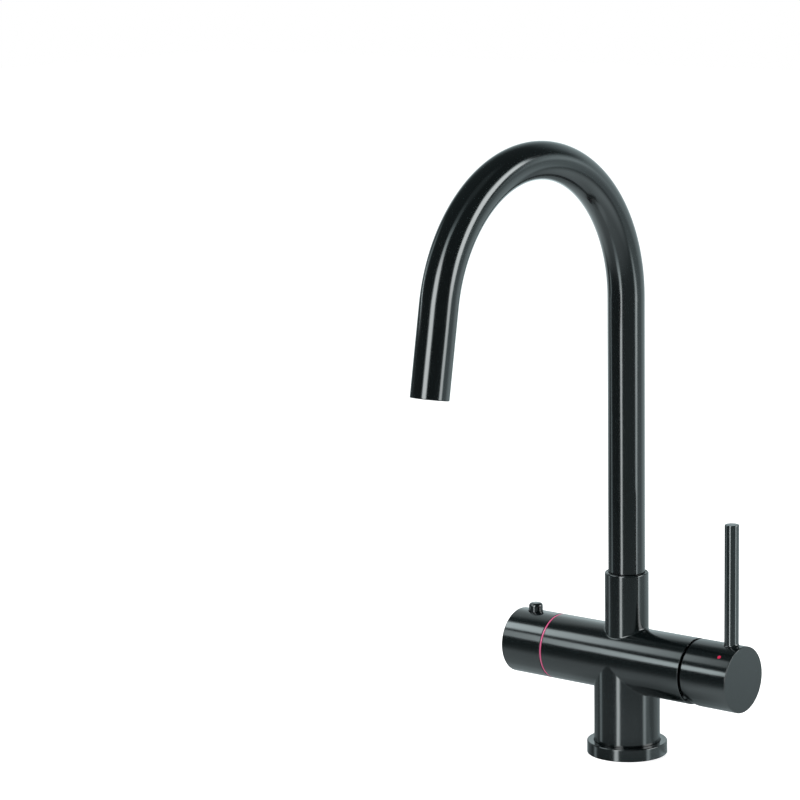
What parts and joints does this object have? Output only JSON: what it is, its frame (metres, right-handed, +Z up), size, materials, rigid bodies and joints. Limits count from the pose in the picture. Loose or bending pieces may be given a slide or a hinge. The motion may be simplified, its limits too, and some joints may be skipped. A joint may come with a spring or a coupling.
{
  "type": "boiling water tap",
  "caption": "Tall single-hole kitchen tap with swan-neck spout, side mixer lever and a boiling-water knob with child-lock button, in gloss gun-metal.",
  "frame": {"origin": "centre of the underside of the base flange, where the tap stands on the worktop", "axes": "+Z up, X along the horizontal bar with the mixer lever at +X and the boiling-water knob at -X, and the spout reaching towards -Y"},
  "size_m": [0.1859, 0.2472, 0.4254],
  "materials": {
    "gunmetal": "glossy gun-metal coating with a fine lengthwise brush",
    "signal_red": "gloss pink-red",
    "signal_blue": "gloss blue",
    "brass": "machined",
    "copper": "drawn tube",
    "steel": "bright stainless",
    "rubber": "matte",
    "ceramic": "polished ceramic",
    "engineering_plastic": "moulded",
    "dark_plastic": "moulded"
  },
  "bodies": {
    "root": {"base_flange": "gunmetal", "deck_gasket": "rubber", "inlet_manifold": "brass", "manifold_o_ring": "rubber", "hot_feed_pipe": "copper", "cold_feed_pipe": "copper", "boiling_feed_pipe": "copper", "body_casting": "gunmetal", "cartridge_seal": "rubber", "cartridge_housing": "engineering_plastic", "fixed_ceramic_disc": "ceramic", "cartridge_nut": "brass", "dome_cover": "gunmetal", "headwork_seal": "rubber", "headwork_body": "brass", "headwork_fixed_disc": "ceramic", "headwork_nut": "brass", "lock_ring": "dark_plastic", "boiling_indicator_ring": "signal_red", "spout_glide_ring": "dark_plastic", "spout_stop_screw": "steel", "boiling_tube_seal": "rubber"},
    "mixer_turn": {"stem_guide": "dark_plastic", "stem_pivot_pin": "steel"},
    "mixer_tilt": {"mixer_hub": "gunmetal", "mixer_lever": "gunmetal", "mixer_stem": "brass", "hub_grub_screw": "steel", "hot_index_dot": "signal_red", "cold_index_dot": "signal_blue"},
    "mixer_disc": {"disc_carrier": "dark_plastic", "moving_ceramic_disc": "ceramic"},
    "boiling_handle": {"boiling_knob": "gunmetal", "knob_grub_screw": "steel", "headwork_spindle": "brass", "headwork_turning_disc": "ceramic", "lock_spring": "steel"},
    "child_lock": {"child_lock_button": "gunmetal", "lock_latch": "steel"},
    "spout": {"spout_tube": "gunmetal", "spout_spigot": "brass", "spout_o_ring_lower": "rubber", "spout_o_ring_upper": "rubber", "boiling_water_tube": "steel", "aerator_housing": "dark_plastic", "aerator_screen": "steel", "aerator_seal": "rubber", "boiling_nozzle": "steel"}
  },
  "joints": [
    {"name": "spout_swivel", "type": "hinge", "parent": "root", "child": "spout", "pos_m": [0, 0, 0.1], "axis": [0, 0, 1], "range_deg": [-75, 75]},
    {"name": "mixer_temperature", "type": "hinge", "parent": "root", "child": "mixer_turn", "pos_m": [0.067, 0, 0.0654], "axis": [1, 0, 0], "range_deg": [-45, 45]},
    {"name": "mixer_flow", "type": "hinge", "parent": "mixer_turn", "child": "mixer_tilt", "pos_m": [0.067, 0, 0.0654], "axis": [0, 1, 0], "range_deg": [0, 18]},
    {"name": "mixer_disc_slide", "type": "slide", "parent": "mixer_turn", "child": "mixer_disc", "axis": [0, 0, 1], "range_m": [0, 0.0035]},
    {"name": "boiling_knob_turn", "type": "hinge", "parent": "root", "child": "boiling_handle", "pos_m": [-0.0778, 0, 0.0654], "axis": [1, 0, 0], "range_deg": [0, 90]},
    {"name": "child_lock_press", "type": "slide", "parent": "boiling_handle", "child": "child_lock", "axis": [0, 0, -1], "range_m": [0, 0.003], "stiffness_N_per_m": 400, "springref_m": -0.002, "deforming": ["lock_spring"]}
  ],
  "couplings": [
    {"joint": "mixer_disc_slide", "follows": "mixer_flow", "m_per_rad": 0.011}
  ]
}
